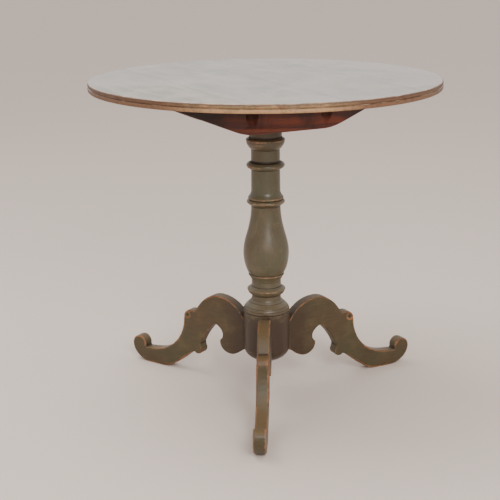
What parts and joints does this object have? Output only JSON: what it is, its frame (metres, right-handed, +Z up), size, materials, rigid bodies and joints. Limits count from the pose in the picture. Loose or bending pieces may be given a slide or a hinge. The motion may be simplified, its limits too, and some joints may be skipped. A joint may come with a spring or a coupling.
{
  "type": "tilt top table",
  "caption": "Round tilt top table: moulded top on deep bearers that pivot on a block, turned pillar, scroll legs and a sprung catch.",
  "frame": {"origin": "on the floor, under the pillar's axis", "axes": "+Z up; X along the bearers, from the pivot (-X) to the catch (+X), over one leg; the top tilts about an axis along Y"},
  "size_m": [0.7999, 0.8, 0.75],
  "materials": {
    "top_paint": "worn grey paint, soft sheen",
    "base_paint": "worn olive grey paint",
    "bare_wood": "bare reddish brown pine",
    "pale_wood": "bare hardwood",
    "old_steel": "dull, old",
    "brass": "aged"
  },
  "bodies": {
    "base": {"pillar": "base_paint", "leg_catch_side": "base_paint", "leg_back": "base_paint", "leg_front": "base_paint", "tilt_block": "bare_wood", "pivot_pin_front": "pale_wood", "pivot_pin_back": "pale_wood", "tenon_wedge": "pale_wood", "keep_plate": "brass", "keep_screws": "brass"},
    "top": {"top_board_1": "top_paint", "top_board_2": "top_paint", "top_board_3": "top_paint", "top_board_4": "top_paint", "bearer_front": "bare_wood", "bearer_back": "bare_wood", "bearer_screws": "old_steel", "catch_case": "brass", "catch_screws": "brass", "catch_spring": "brass"},
    "bolt": {"catch_bolt": "brass", "catch_knob": "brass"}
  },
  "joints": [
    {"name": "top_tilt", "type": "hinge", "parent": "base", "child": "top", "pos_m": [-0.06, 0, 0.686], "axis": [0, -1, 0], "range_deg": [0, 90]},
    {"name": "bolt_slide", "type": "slide", "parent": "top", "child": "bolt", "axis": [-1, 0, 0], "range_m": [0, 0.011], "stiffness_N_per_m": 150, "springref_m": 0.02, "deforming": ["catch_spring"]}
  ]
}
